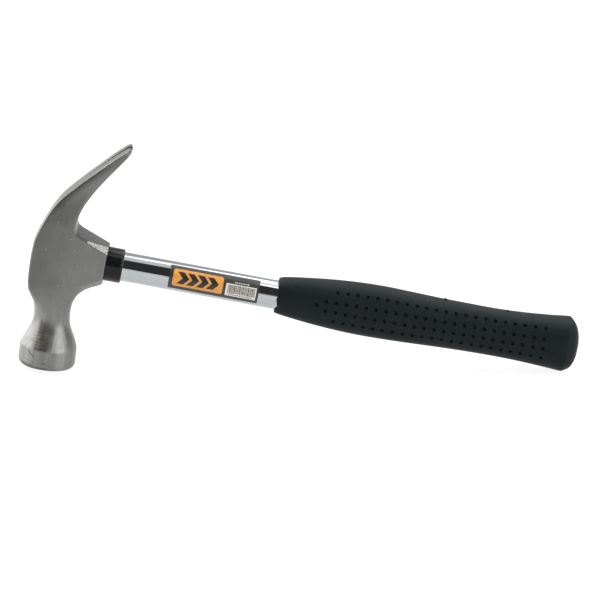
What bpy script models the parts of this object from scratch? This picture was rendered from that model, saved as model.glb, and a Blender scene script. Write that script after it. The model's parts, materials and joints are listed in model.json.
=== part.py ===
"""Claw hammer with a forged head on a chrome-plated tubular steel shaft and a rubber grip.

The hammer is modelled in its own frame, in millimetres: +X runs along the shaft from the head to the
butt, +Z points to the claw side, Y runs across, and the origin is where the bell's axis meets the
shaft's axis. An empty then stands it on the ground, on the rim of its striking face and on its butt,
with the scene's origin on the ground under the middle of its box.
"""

import math
from collections import namedtuple

import bmesh
import bpy
from mathutils import Vector

MM = 0.001
CLEARANCE = 0.3  # between pieces that touch, so that their faceted solids never overlap

WELD = 0.001  # points this close are made one
SHARP_ANGLE = math.radians(35)  # edges sharper than this are drawn sharp

# Driving dimensions
TUBE_RADIUS = 8.0
TUBE_WALL = 1.5
TUBE_START = -13.4  # just inside the poll, the outer side of the head
TUBE_END = 272.0
CHEEK = 12.0  # half the head's width
BELL_RADIUS = 15.6
FACE_CENTRE = Vector((4.35, -62.2))
BELL_LEAN = math.radians(3.2)  # the face looks slightly towards the handle
SOCKET_END = 27.0
COLLAR_LENGTH = 9.0
GRIP_START = 121.5
GRIP_BORE_END = 276.5
GRIP_END = 288.7
GRIP_SQUARENESS = 2.4  # exponent of the section's superellipse, 2 is an ellipse
GRIP_SIDES = 40
ROUND_SIDES = 48
LABEL_START = 62.0
LABEL_LENGTH = 49.3
LABEL_ARC = math.radians(103)
LABEL_TURN = math.radians(10)  # the label sits a little towards the claw side
LABEL_THICKNESS = 0.2
LABEL_STEPS = 12


# ---------------------------------------------------------------- building meshes


def material(name, colour, roughness, metallic=0.0):
    made = bpy.data.materials.new(name)
    made.use_nodes = True
    shader = made.node_tree.nodes["Principled BSDF"]
    shader.inputs["Base Color"].default_value = (*colour, 1.0)
    shader.inputs["Roughness"].default_value = roughness
    shader.inputs["Metallic"].default_value = metallic
    made.diffuse_color = (*colour, 1.0)
    return made


def loft(name, loops, finish, ring=False):
    """An object skinned over loops of equal length, capped at both ends, or joined end to start."""
    mesh = bmesh.new()
    rows = [[mesh.verts.new(Vector(point) * MM) for point in loop] for loop in loops]
    pairs = list(zip(rows, rows[1:]))
    if ring:
        pairs.append((rows[-1], rows[0]))
    for first, second in pairs:
        for i in range(len(first)):
            k = (i + 1) % len(first)
            mesh.faces.new((first[i], first[k], second[k], second[i]))
    if not ring:
        mesh.faces.new(rows[0])
        mesh.faces.new(rows[-1])
    bmesh.ops.remove_doubles(mesh, verts=mesh.verts, dist=WELD * MM)
    bmesh.ops.recalc_face_normals(mesh, faces=mesh.faces)
    data = bpy.data.meshes.new(name)
    mesh.to_mesh(data)
    mesh.free()
    data.materials.append(finish)
    data.shade_smooth()
    data.set_sharp_from_angle(angle=SHARP_ANGLE)
    made = bpy.data.objects.new(name, data)
    bpy.context.scene.collection.objects.link(made)
    return made


def circle(x, radius, sides=ROUND_SIDES):
    turns = [2 * math.pi * i / sides for i in range(sides)]
    return [(x, radius * math.cos(turn), radius * math.sin(turn)) for turn in turns]


def turned(name, profile, finish, ring=False):
    """A piece turned about the shaft's axis, from (x, radius) pairs."""
    return loft(name, [circle(x, radius) for x, radius in profile], finish, ring)


def cut(target, cutter):
    cutter.hide_render = True
    cutter.display_type = "WIRE"
    boolean = target.modifiers.new(cutter.name, "BOOLEAN")
    boolean.operation = "DIFFERENCE"
    boolean.solver = "EXACT"
    boolean.object = cutter


def spline(before, start, end, after, t):
    """Catmull-Rom from start to end."""
    bend = 2 * before - 5 * start + 4 * end - after
    twist = 3 * start - before - 3 * end + after
    return start + 0.5 * t * (end - before + t * (bend + t * twist))


# ---------------------------------------------------------------- head

# One section across the head, on the plane that holds the line from poll to handle side and Y:
#   poll, inner    its two ends in the side view, (x, z): the outer side and the handle side
#   wide           half width at the poll end
#   body           half width just inside it, where the claw's flared edges have died away
#   narrow         half width at the inner end
#   poll_corner    size of the corner at the poll end, (along the section, across it)
#   inner_corner   the same at the inner end
#   arc            1 for round corners, 0 for straight chamfers
#   sharp          True where the outline turns sharply, so that curves stop there
Section = namedtuple("Section", "poll inner wide body narrow poll_corner inner_corner arc sharp")


def bell_section(height, radius, lean=BELL_LEAN, sharp=False):
    """A full circle at a height above the face on the bell's axis, leaning as the face does or less."""
    up = Vector((-math.sin(BELL_LEAN), math.cos(BELL_LEAN)))
    across = Vector((math.cos(lean), math.sin(lean)))
    centre = FACE_CENTRE + up * height
    size = (radius, radius)
    ends = centre - across * radius, centre + across * radius
    return Section(*ends, radius, radius, radius, size, size, 1, sharp)


def head_section(poll, inner, widths, poll_corner, inner_corner, arc=1.0, sharp=False):
    wide, body, narrow = widths
    ends = Vector(poll), Vector(inner)
    return Section(*ends, wide, body, narrow, poll_corner, inner_corner, arc, sharp)


SHOULDER_LEAN = math.radians(0.5)
BELL = [
    bell_section(0.0, BELL_RADIUS - 2.0, sharp=True),
    bell_section(1.1, BELL_RADIUS - 0.75),
    bell_section(2.7, BELL_RADIUS, sharp=True),
    bell_section(10.9, BELL_RADIUS, SHOULDER_LEAN, sharp=True),
]

# From the bell's shoulder up the waist to the sharp edge where the poll's flat begins.
WAIST = [
    head_section((-10.9, -49.1), (18.9, -48.8), (14.8, 14.8, 14.8), (14.8, 14.8), (14.8, 14.8)),
    head_section((-9.6, -45.6), (17.3, -45.2), (13.4, 13.4, 13.4), (12.8, 12.8), (12.8, 12.8)),
    head_section((-8.0, -41.8), (15.2, -41.5), (11.5, 11.5, 11.5), (10.2, 10.2), (10.2, 10.2)),
    head_section((-7.1, -38.0), (13.5, -37.7), (10.4, 10.4, 10.4), (9.2, 9.2), (9.2, 9.2)),
    head_section((-6.95, -34.2), (12.7, -33.9), (10.0, 10.0, 10.0), (8.6, 8.4), (8.6, 8.4)),
    head_section((-7.4, -30.4), (12.4, -30.1), (10.2, 10.2, 10.2), (7.2, 7.4), (7.4, 7.6)),
    head_section((-8.3, -26.7), (12.6, -26.2), (10.7, 10.7, 10.7), (5.6, 6.0), (6.2, 6.6)),
    head_section((-10.0, -23.1), (13.3, -22.6), (11.3, 11.3, 11.3), (3.4, 3.9), (5.2, 5.6)),
]

# Under the socket, round its end face and back along its top, with chamfers that grow to the end.
WIDE = (CHEEK, CHEEK, CHEEK)
POLL_EDGE = (1.0, 1.0)
END_EDGE = (0.6, 0.6)
SOCKET = [
    head_section((-12.0, -19.4), (14.5, -19.5), (11.8, 11.8, 11.8), (1.4, 1.8), (5.2, 5.4), 0.8, True),
    head_section((-12.6, -16.0), (16.3, -17.1), WIDE, POLL_EDGE, (5.6, 5.4), 0.5),
    head_section((-12.9, -13.5), (18.9, -14.9), WIDE, POLL_EDGE, (6.0, 5.8), 0.3),
    head_section((-13.1, -11.3), (22.0, -13.2), WIDE, POLL_EDGE, (6.4, 6.1), 0.15),
    head_section((-13.2, -9.5), (24.8, -11.9), WIDE, POLL_EDGE, (6.8, 6.4), 0.1),
    head_section((-13.3, -8.0), (SOCKET_END, -10.6), WIDE, POLL_EDGE, (7.0, 6.5), 0.1, True),
    head_section((-13.35, -6.2), (SOCKET_END, -6.8), WIDE, POLL_EDGE, END_EDGE, 0.1, True),
    head_section((-13.45, 0.0), (SOCKET_END, 0.0), WIDE, POLL_EDGE, END_EDGE, 0.1),
    head_section((-13.15, 7.6), (SOCKET_END, 7.8), WIDE, POLL_EDGE, END_EDGE, 0.1, True),
    head_section((-12.85, 9.2), (SOCKET_END, 10.4), WIDE, POLL_EDGE, (7.5, 6.5), 0.1, True),
    head_section((-12.4, 10.8), (21.5, 11.7), WIDE, POLL_EDGE, (3.8, 3.3), 0.1),
    head_section((-12.0, 12.3), (16.5, 13.0), WIDE, POLL_EDGE, (0.9, 0.8), 0.2),
    head_section((-11.5, 13.7), (12.0, 14.6), WIDE, POLL_EDGE, (0.6, 0.6), 0.5),
    head_section((-10.9, 15.2), (9.0, 16.2), WIDE, POLL_EDGE, (0.9, 0.9)),
]

# The throat and the claw, out to the tip, whose corners are rounded off.
EDGE = (0.7, 0.7)
INNER = (1.4, 1.4)
CLAW = [
    head_section((-10.4, 16.9), (7.7, 18.2), (12.0, 12.0, 12.0), (1.0, 1.0), (0.7, 0.7)),
    head_section((-9.5, 19.1), (7.6, 20.8), (12.0, 11.95, 11.9), (1.0, 1.0), (0.7, 0.7)),
    head_section((-8.25, 22.3), (8.1, 23.8), (11.85, 11.75, 11.75), EDGE, (1.0, 1.0)),
    head_section((-5.8, 27.5), (9.1, 27.9), (11.75, 11.4, 11.5), EDGE, INNER),
    head_section((-2.3, 33.2), (10.8, 32.5), (11.75, 11.05, 11.2), EDGE, INNER),
    head_section((3.1, 39.7), (13.5, 37.9), (11.95, 10.8, 10.9), EDGE, INNER),
    head_section((8.5, 45.7), (16.7, 43.4), (12.3, 10.7, 10.6), EDGE, INNER),
    head_section((14.3, 51.8), (20.5, 49.3), (12.8, 11.0, 10.4), EDGE, (1.2, 1.2)),
    head_section((20.2, 58.0), (24.8, 55.6), (13.4, 11.6, 10.6), EDGE, (1.0, 1.0)),
    head_section((24.7, 62.4), (27.7, 60.0), (13.3, 12.0, 10.9), (0.6, 0.6), (0.8, 0.8)),
    head_section((27.4, 64.9), (29.4, 62.6), (11.8, 11.2, 10.0), (0.6, 0.6), (0.7, 0.7)),
    head_section((29.1, 66.3), (30.4, 64.4), (8.0, 7.8, 7.2), (0.5, 0.5), (0.5, 0.5), 1.0, True),
]
HEAD_SECTIONS = BELL + WAIST + SOCKET + CLAW
CURVED = WAIST + CLAW  # more sections are made between these
CURVED_STEPS = 2
CORNER_STEPS = 6
SIDE_STEPS = 3
FLARE_REACH = 2.4  # how fast the flare of the claw's outer edges dies away
CROWN = 0.3  # the outer side of the claw stands this much higher in its middle than at its edges


def between(sections, i, t):
    """The section t of the way from section i to the next, on a smooth curve that breaks at sharp ones."""
    start, end = sections[i], sections[i + 1]
    before = start if start.sharp or i == 0 else sections[i - 1]
    after = end if end.sharp or i + 2 == len(sections) else sections[i + 2]

    def mixed(field):
        values = [getattr(section, field) for section in (before, start, end, after)]
        if field in ("poll_corner", "inner_corner"):
            values = [Vector(value) for value in values]
        return spline(*values, t)

    fields = [mixed(field) for field in Section._fields[:-1]]
    return Section(*fields, False)


def corner_points(size, arc, steps):
    """From (0, 1 - size) on the wall to (size, 1) on the side, as offsets (inwards, down from the side)."""
    points = []
    for k in range(steps + 1):
        turn = math.pi / 2 * k / steps
        share = k / steps
        inwards = arc * (1 - math.cos(turn)) + (1 - arc) * share
        down = arc * (1 - math.sin(turn)) + (1 - arc) * (1 - share)
        points.append((inwards * size[0], down * size[1]))
    return points


def section_loop(section):
    """The closed loop of points around one section: (x, y, z)."""
    poll, inner = section.poll, section.inner
    length = (inner - poll).length
    along = (inner - poll) / length
    half = []  # (distance from the poll end, y), from the middle of the poll to the middle of the inner end
    half.append((-CROWN * (section.wide - section.poll_corner[1]) / CHEEK, 0.0))
    for inwards, down in corner_points(section.poll_corner, section.arc, CORNER_STEPS):
        half.append((inwards, section.wide - down))
    side_start = section.poll_corner[0]
    side_end = length - section.inner_corner[0]
    flare = section.wide - section.body
    for k in range(1, SIDE_STEPS):
        share = (k / SIDE_STEPS) ** 1.5
        distance = side_start + (side_end - side_start) * share
        straight = section.body + (section.narrow - section.body) * share
        fade = math.exp(-(distance - side_start) / FLARE_REACH)
        half.append((distance, straight + flare * fade))
    for inwards, down in reversed(corner_points(section.inner_corner, section.arc, CORNER_STEPS)):
        half.append((length - inwards, section.narrow - down))
    half.append((length, 0.0))
    mirrored = [(distance, -y) for distance, y in half[-2:0:-1]]
    points = []
    for distance, y in half + mirrored:
        place = poll + along * distance
        points.append((place.x, y, place.y))
    return points


def head_loops():
    loops = []
    for i, section in enumerate(HEAD_SECTIONS[:-1]):
        steps = CURVED_STEPS if section in CURVED else 1
        for k in range(steps):
            loops.append(section_loop(between(HEAD_SECTIONS, i, k / steps)))
    loops.append(section_loop(HEAD_SECTIONS[-1]))
    return loops


SLOT_REACH = 4.0  # how far the slot's cutter stands out of the claw
# Half width of the nail slot at places along the claw, as (place among the claw's sections, half width).
SLOT = [
    (5.95, 0.3),
    (6.05, 0.75),
    (6.3, 1.05),
    (7.0, 1.5),
    (8.0, 2.1),
    (9.0, 2.5),
    (10.0, 2.75),
    (11.0, 2.9),
]


def slot_loops():
    loops = []
    for place, half in SLOT:
        i = min(int(place), len(CLAW) - 2)
        section = between(CLAW, i, place - i)
        reach = (section.inner - section.poll).normalized() * SLOT_REACH
        outer, inner = section.poll - reach, section.inner + reach
        corners = ((outer, half), (inner, half), (inner, -half), (outer, -half))
        loops.append([(point.x, y, point.y) for point, y in corners])
    tip = CLAW[-1]
    beyond = (tip.inner - tip.poll).orthogonal().normalized() * SLOT_REACH
    loops.append([(x + beyond.x, y, z + beyond.y) for x, y, z in loops[-1]])
    return loops


EYE_CUT = (-20.0, 35.0)  # the eye's cutter, from outside the poll to beyond the socket


def make_head():
    steel = material("ground_steel", (0.42, 0.42, 0.40), 0.42, 1.0)
    head = loft("hammer_head", head_loops(), steel)
    eye_radius = TUBE_RADIUS + CLEARANCE
    eye = turned("eye_cutter", [(x, eye_radius) for x in EYE_CUT], steel)
    cut(head, eye)
    cut(head, loft("slot_cutter", slot_loops(), steel))
    return [head, eye, bpy.data.objects["slot_cutter"]]


# ---------------------------------------------------------------- shaft and what is in it


def make_shaft():
    chrome = material("chrome", (0.78, 0.79, 0.80), 0.08, 1.0)
    inside = TUBE_RADIUS - TUBE_WALL
    ends = [(TUBE_START, TUBE_RADIUS), (TUBE_END, TUBE_RADIUS), (TUBE_END, inside), (TUBE_START, inside)]
    return [turned("shaft_tube", ends, chrome, ring=True)]


BORE = TUBE_RADIUS - TUBE_WALL - CLEARANCE  # radius of what fills the tube
# The eye plug's outside from its punched dimple to its tail, as (distance from the tube's end, radius).
PLUG_PROFILE = [(1.2, 0.5), (0.3, 3.0), (0.3, BORE - 0.4), (0.8, BORE), (9.0, BORE - 0.9)]
PLUG_LENGTH = PLUG_PROFILE[-1][0]
CORE_LENGTH = 52.0
STEM_LENGTH = 16.0
STEM_LEAD = (1.5, 1.0)  # length of the stem's tapered lead, and how much thinner it is at its end
FLANGE = 2.0


def make_shaft_fillings():
    """The steel plug that spreads the tube in the eye, the wooden core behind it, and the butt plug."""
    steel = material("plug_steel", (0.45, 0.45, 0.46), 0.45, 1.0)
    wood = material("beech", (0.55, 0.38, 0.22), 0.7)
    plastic = material("plug_plastic", (0.05, 0.05, 0.05), 0.5)
    plug = turned("eye_plug", [(TUBE_START + distance, radius) for distance, radius in PLUG_PROFILE], steel)
    core_start = TUBE_START + PLUG_LENGTH + CLEARANCE
    core = turned("eye_core", [(core_start, BORE), (core_start + CORE_LENGTH, BORE)], wood)
    stem_start = TUBE_END - STEM_LENGTH
    flange_start = TUBE_END + CLEARANCE
    stem = [(stem_start, BORE - STEM_LEAD[1]), (stem_start + STEM_LEAD[0], BORE), (flange_start, BORE)]
    flange = [(flange_start, TUBE_RADIUS), (flange_start + FLANGE, TUBE_RADIUS)]
    butt_plug = turned("butt_plug", stem + flange, plastic)
    return [plug, core, butt_plug]


# The collar's outside, as (distance from the socket's end of it, radius).
COLLAR_OUTSIDE = [(0.0, 9.35), (0.3, 9.55), (7.7, 9.45), (8.5, 9.2), (COLLAR_LENGTH, 8.7)]


def make_collar():
    black = material("collar_plastic", (0.012, 0.012, 0.013), 0.15)
    start = SOCKET_END + CLEARANCE
    inside = TUBE_RADIUS + CLEARANCE
    outside = [(start + distance, radius) for distance, radius in COLLAR_OUTSIDE]
    bore = [(start + COLLAR_LENGTH, inside), (start, inside)]
    return [turned("collar", outside + bore, black, ring=True)]


# ---------------------------------------------------------------- grip

# The grip's outline: (x, top, bottom, half width), from its mouth to the middle of its domed butt.
GRIP_OUTLINE = [
    (GRIP_START, 9.5, -9.5, 9.5),
    (124.0, 10.4, -10.1, 9.9),
    (132.0, 11.7, -11.1, 10.7),
    (147.0, 13.6, -12.5, 11.8),
    (163.0, 15.0, -13.3, 12.4),
    (178.0, 15.5, -13.3, 12.6),
    (194.0, 15.2, -12.8, 12.4),
    (209.0, 14.8, -12.1, 12.1),
    (225.0, 14.7, -11.5, 11.8),
    (241.0, 14.7, -11.2, 11.8),
    (256.0, 15.4, -11.3, 12.2),
    (271.0, 16.7, -11.9, 13.2),
    (279.0, 17.7, -12.4, 13.8),
    (281.6, 17.9, -12.5, 13.8),
    (282.6, 17.5, -12.1, 13.5),
    (284.3, 16.0, -11.1, 12.6),
    (286.0, 13.9, -9.8, 11.2),
    (287.3, 11.0, -7.5, 9.0),
    (288.2, 7.3, -4.7, 6.0),
    (GRIP_END, 2.8, -1.4, 2.2),
]


def grip_loop(x, top, bottom, half_width):
    """A superellipse across the shaft, whose middle is between top and bottom."""
    middle = (top + bottom) / 2
    half_height = (top - bottom) / 2
    power = 2 / GRIP_SQUARENESS
    points = []
    for i in range(GRIP_SIDES):
        turn = 2 * math.pi * i / GRIP_SIDES
        y = math.copysign(abs(math.cos(turn)) ** power, math.cos(turn))
        z = math.copysign(abs(math.sin(turn)) ** power, math.sin(turn))
        points.append((x, half_width * y, middle + half_height * z))
    return points


def make_grip():
    rubber = material("grip_rubber", (0.018, 0.020, 0.022), 0.62)
    bore = TUBE_RADIUS + CLEARANCE
    outside = [grip_loop(*row) for row in reversed(GRIP_OUTLINE)]
    inside = [circle(x, bore, GRIP_SIDES) for x in (GRIP_START, GRIP_BORE_END)]
    return [loft("grip", outside + inside, rubber)]


# ---------------------------------------------------------------- label


def make_label():
    """A printed film stuck round the near side of the shaft."""
    film = material("label_film", (0.03, 0.03, 0.03), 0.4)
    inside = TUBE_RADIUS + CLEARANCE
    loops = []
    for k in range(LABEL_STEPS + 1):
        turn = LABEL_TURN + LABEL_ARC * (k / LABEL_STEPS - 0.5)
        out = Vector((0, -math.cos(turn), math.sin(turn)))
        corners = []
        for x, radius in (
            (LABEL_START, inside),
            (LABEL_START + LABEL_LENGTH, inside),
            (LABEL_START + LABEL_LENGTH, inside + LABEL_THICKNESS),
            (LABEL_START, inside + LABEL_THICKNESS),
        ):
            corners.append((x, out.y * radius, out.z * radius))
        loops.append(corners)
    return [loft("label", loops, film)]


# ---------------------------------------------------------------- standing the hammer up


def lowest(points, tilt):
    """How far below the shaft's origin the lowest of these side view points is, once tilted."""
    return min(z * math.cos(tilt) - x * math.sin(tilt) for x, z in points)


MOST_TILT = math.radians(30)
HALVINGS = 40  # enough to find the tilt to far less than a micrometre at the butt


def standing_tilt():
    """The angle of the shaft below level at which the face's rim and the butt touch the ground together."""
    rim = [tuple(BELL[0].inner), tuple(BELL[1].inner)]
    butt = [(x, bottom) for x, _, bottom, _ in GRIP_OUTLINE]
    low, high = 0.0, MOST_TILT
    for _ in range(HALVINGS):
        middle = (low + high) / 2
        if lowest(butt, middle) > lowest(rim, middle):
            low = middle
        else:
            high = middle
    return middle


def stand(pieces):
    frame = bpy.data.objects.new("hammer_frame", None)
    bpy.context.scene.collection.objects.link(frame)
    for piece in pieces:
        piece.parent = frame
    frame.rotation_euler = (0, standing_tilt(), 0)
    bpy.context.view_layer.update()
    corners = [
        piece.matrix_world @ vertex.co
        for piece in pieces
        if not piece.hide_render
        for vertex in piece.data.vertices
    ]
    middle = [(min(axis) + max(axis)) / 2 for axis in zip(*corners)]
    ground = min(corner.z for corner in corners)
    frame.location = (-middle[0], -middle[1], -ground)


def main():
    for old in list(bpy.data.objects):
        bpy.data.objects.remove(old)
    pieces = make_head() + make_shaft() + make_shaft_fillings() + make_collar() + make_grip() + make_label()
    stand(pieces)


main()
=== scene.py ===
"""The claw hammer's visual model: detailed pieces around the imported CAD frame, with their materials.

Pieces are modelled in the hammer's own frame, in millimetres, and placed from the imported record: +X runs
along the shaft from the head to the butt, +Z points to the claw side, Y runs across, and the origin is
where the bell's axis meets the shaft's axis.
"""

import json
import math
from collections import namedtuple

import bmesh
import bpy
from mathutils import Matrix, Vector, noise


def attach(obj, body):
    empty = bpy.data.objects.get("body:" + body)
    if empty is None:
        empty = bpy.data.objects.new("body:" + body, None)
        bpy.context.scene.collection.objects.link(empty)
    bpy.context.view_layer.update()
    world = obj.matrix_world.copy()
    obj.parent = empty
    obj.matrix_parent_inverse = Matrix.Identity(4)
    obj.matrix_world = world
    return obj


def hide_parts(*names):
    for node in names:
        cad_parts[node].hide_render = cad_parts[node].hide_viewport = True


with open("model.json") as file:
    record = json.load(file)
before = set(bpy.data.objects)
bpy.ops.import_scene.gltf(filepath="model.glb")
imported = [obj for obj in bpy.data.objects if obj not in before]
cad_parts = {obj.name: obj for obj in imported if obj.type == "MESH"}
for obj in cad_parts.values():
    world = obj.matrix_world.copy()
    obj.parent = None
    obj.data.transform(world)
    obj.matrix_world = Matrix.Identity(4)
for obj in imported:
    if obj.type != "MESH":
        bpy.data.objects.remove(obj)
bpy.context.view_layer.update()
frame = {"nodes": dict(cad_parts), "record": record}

MM = 0.001

# ---------------------------------------------------------------- the hammer's own frame

FACE_CENTRE = Vector((4.35, 0, -62.2))
BELL_LEAN = math.radians(3.2)  # the face looks slightly towards the handle


def find_placing():
    """(where the hammer's own origin is, in metres, and the slope of its shaft), from the striking face."""
    face = next(m for m in frame["record"]["mounts"] if m["name"] == "striking_face")
    out = face["axis"]
    slope = math.atan2(-out[0], -out[2]) + BELL_LEAN
    turn = Matrix.Rotation(slope, 3, "Y")
    return Vector(face["pos_m"]) - turn @ (FACE_CENTRE * MM), slope


ORIGIN, SLOPE = find_placing()
PLACING = Matrix.Translation(ORIGIN) @ Matrix.Rotation(SLOPE, 4, "Y") @ Matrix.Scale(MM, 4)

# ---------------------------------------------------------------- sizes, in millimetres

TUBE_RADIUS = 8.0
TUBE_WALL = 1.5
TUBE_START = -13.4
TUBE_END = 272.0
CHEEK = 12.0  # half the head's width
BELL_RADIUS = 15.6
SOCKET_END = 27.0
COLLAR_LENGTH = 9.0
GRIP_START = 121.5
GRIP_BORE_END = 276.5
GRIP_END = 288.65
LABEL_START = 62.0
LABEL_LENGTH = 49.3
LABEL_TURN = math.radians(10)  # the label sits a little towards the claw side
LABEL_ARC = math.radians(103)


# ---------------------------------------------------------------- building meshes


def finish_piece(made, node):
    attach(made, "root")
    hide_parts(node)
    return made


def object_from(name, mesh, finish, sharp=35):
    """A new object from a bmesh in the hammer's own frame."""
    bmesh.ops.recalc_face_normals(mesh, faces=mesh.faces)
    mesh.transform(PLACING)
    data = bpy.data.meshes.new(name)
    mesh.to_mesh(data)
    mesh.free()
    if finish:
        data.materials.append(finish)
    data.shade_smooth()
    data.set_sharp_from_angle(angle=math.radians(sharp))
    made = bpy.data.objects.new(name, data)
    bpy.context.scene.collection.objects.link(made)
    return made


def skin(mesh, loops, ring=False):
    """Skins over loops of equal length, capped at both ends, or joined end to start."""
    rows = [[mesh.verts.new(point) for point in loop] for loop in loops]
    pairs = list(zip(rows, rows[1:]))
    if ring:
        pairs.append((rows[-1], rows[0]))
    for first, second in pairs:
        for i in range(len(first)):
            k = (i + 1) % len(first)
            mesh.faces.new((first[i], first[k], second[k], second[i]))
    if not ring:
        mesh.faces.new(rows[0])
        mesh.faces.new(rows[-1])
    return mesh


def circle(x, radius, sides):
    turns = [2 * math.pi * i / sides for i in range(sides)]
    return [(x, radius * math.cos(turn), radius * math.sin(turn)) for turn in turns]


def turned(name, profile, finish, ring=False, sides=192, sharp=35):
    """A piece turned about the shaft's axis, from (x, radius) pairs."""
    loops = [circle(x, radius, sides) for x, radius in profile]
    return object_from(name, skin(bmesh.new(), loops, ring), finish, sharp)


def fillet(centre, radius, start, end, steps=6):
    """Points (x, radius) on a round edge, from one angle to another, in degrees from +x."""
    angles = [math.radians(start + (end - start) * k / steps) for k in range(steps + 1)]
    return [(centre[0] + radius * math.cos(a), centre[1] + radius * math.sin(a)) for a in angles]


def spline(before, start, end, after, t):
    """Catmull-Rom from start to end."""
    bend = 2 * before - 5 * start + 4 * end - after
    twist = 3 * start - before - 3 * end + after
    return start + 0.5 * t * (end - before + t * (bend + t * twist))


def apply_modifiers(made):
    """Bakes the object's modifiers into its mesh and removes the cutters they used."""
    bpy.context.view_layer.update()
    graph = bpy.context.evaluated_depsgraph_get()
    cutters = [m.object for m in made.modifiers if m.type == "BOOLEAN"]
    data = bpy.data.meshes.new_from_object(made.evaluated_get(graph))
    made.modifiers.clear()
    made.data = data
    for cutter in cutters:
        bpy.data.objects.remove(cutter)
    return made


def cut(target, cutter):
    boolean = target.modifiers.new(cutter.name, "BOOLEAN")
    boolean.operation = "DIFFERENCE"
    boolean.solver = "EXACT"
    boolean.object = cutter


# ---------------------------------------------------------------- shader helpers


def new_material(name):
    made = bpy.data.materials.new(name)
    made.use_nodes = True
    return made, made.node_tree, made.node_tree.nodes["Principled BSDF"]


def link(tree, value, socket):
    """Links a socket, or sets a plain value."""
    if isinstance(value, bpy.types.NodeSocket):
        tree.links.new(value, socket)
    else:
        socket.default_value = value


def math_node(tree, operation, *values):
    node = tree.nodes.new("ShaderNodeMath")
    node.operation = operation
    for value, socket in zip(values, node.inputs):
        link(tree, value, socket)
    return node.outputs[0]


def plus(tree, first, second):
    return math_node(tree, "ADD", first, second)


def minus(tree, first, second):
    return math_node(tree, "SUBTRACT", first, second)


def times(tree, first, second):
    return math_node(tree, "MULTIPLY", first, second)


def own_place(tree):
    """The point being shaded, in the hammer's own frame, in millimetres."""
    place = tree.nodes.new("ShaderNodeTexCoord").outputs["Object"]
    mapping = tree.nodes.new("ShaderNodeMapping")
    mapping.vector_type = "TEXTURE"
    mapping.inputs["Location"].default_value = ORIGIN
    mapping.inputs["Rotation"].default_value = (0, SLOPE, 0)
    mapping.inputs["Scale"].default_value = (MM, MM, MM)
    tree.links.new(place, mapping.inputs["Vector"])
    return mapping.outputs[0]


def axes(tree, place):
    split = tree.nodes.new("ShaderNodeSeparateXYZ")
    tree.links.new(place, split.inputs[0])
    return split.outputs


def stretched(tree, place, scale):
    mapping = tree.nodes.new("ShaderNodeMapping")
    mapping.inputs["Scale"].default_value = scale
    tree.links.new(place, mapping.inputs["Vector"])
    return mapping.outputs[0]


def noise_node(tree, place, scale, detail=3.0, roughness=0.55, distortion=0.0):
    node = tree.nodes.new("ShaderNodeTexNoise")
    tree.links.new(place, node.inputs["Vector"])
    node.inputs["Scale"].default_value = scale
    node.inputs["Detail"].default_value = detail
    node.inputs["Roughness"].default_value = roughness
    node.inputs["Distortion"].default_value = distortion
    return node.outputs["Fac"]


def remap(tree, value, low, high, to_low=0.0, to_high=1.0, smooth=True):
    node = tree.nodes.new("ShaderNodeMapRange")
    node.interpolation_type = "SMOOTHSTEP" if smooth else "LINEAR"
    for socket, number in zip(node.inputs, (value, low, high, to_low, to_high)):
        link(tree, number, socket)
    return node.outputs[0]


def mix_colour(tree, share, first, second):
    node = tree.nodes.new("ShaderNodeMix")
    node.data_type = "RGBA"
    for value, socket in ((share, node.inputs[0]), (first, node.inputs[6]), (second, node.inputs[7])):
        if isinstance(value, tuple):
            value = (*value, 1.0)
        link(tree, value, socket)
    return node.outputs[2]


def bump(tree, height, strength, distance, under=None):
    node = tree.nodes.new("ShaderNodeBump")
    node.inputs["Strength"].default_value = strength
    node.inputs["Distance"].default_value = distance * MM
    tree.links.new(height, node.inputs["Height"])
    if under:
        tree.links.new(under, node.inputs["Normal"])
    return node.outputs[0]


# ---------------------------------------------------------------- materials

SCRATCHES = [  # on the bell's near side: (x, z) of both ends, and half width
    ((-6.0, -53.0), (-2.6, -55.2), 0.28),
    ((2.6, -57.8), (4.6, -58.1), 0.32),
    ((4.6, -24.5), (5.2, -24.8), 0.18),
]
NICKS = [  # on the near cheek and the claw: where each short bright stroke starts, (x, z)
    (9.2, 6.5),
    (6.4, 12.4),
    (-2.1, 20.6),
    (-3.2, 26.4),
    (3.4, -14.2),
    (-6.0, 4.6),
    (12.3, -1.8),
    (0.6, 31.5),
]
NICK_STROKE = (0.35, -0.2)
NICK_WIDTH = 0.19
THROAT_HEIGHT = 15.2  # z of the throat between the claw and the socket


def near_segment(tree, x, z, start, end, width):
    """1 on a line between two (x, z) points, fading to 0 at a distance of width."""
    run = Vector(end) - Vector(start)
    length = run.length
    along_x = times(tree, minus(tree, x, start[0]), run[0] / length)
    along_z = times(tree, minus(tree, z, start[1]), run[1] / length)
    along = plus(tree, along_x, along_z)
    across_x = times(tree, minus(tree, x, start[0]), -run[1] / length)
    across_z = times(tree, minus(tree, z, start[1]), run[0] / length)
    across = math_node(tree, "ABSOLUTE", plus(tree, across_x, across_z))
    middle = math_node(tree, "ABSOLUTE", minus(tree, along, length / 2))
    past = math_node(tree, "MAXIMUM", minus(tree, middle, length / 2), 0.0)
    distance = plus(tree, across, past)
    return remap(tree, distance, width * 0.4, width, 1.0, 0.0)


def near_any(tree, x, z, segments):
    """1 on any of several lines, each given by (start, end, half width)."""
    marks = None
    for segment in segments:
        mark = near_segment(tree, x, z, *segment)
        marks = mark if marks is None else math_node(tree, "MAXIMUM", marks, mark)
    return marks


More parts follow.
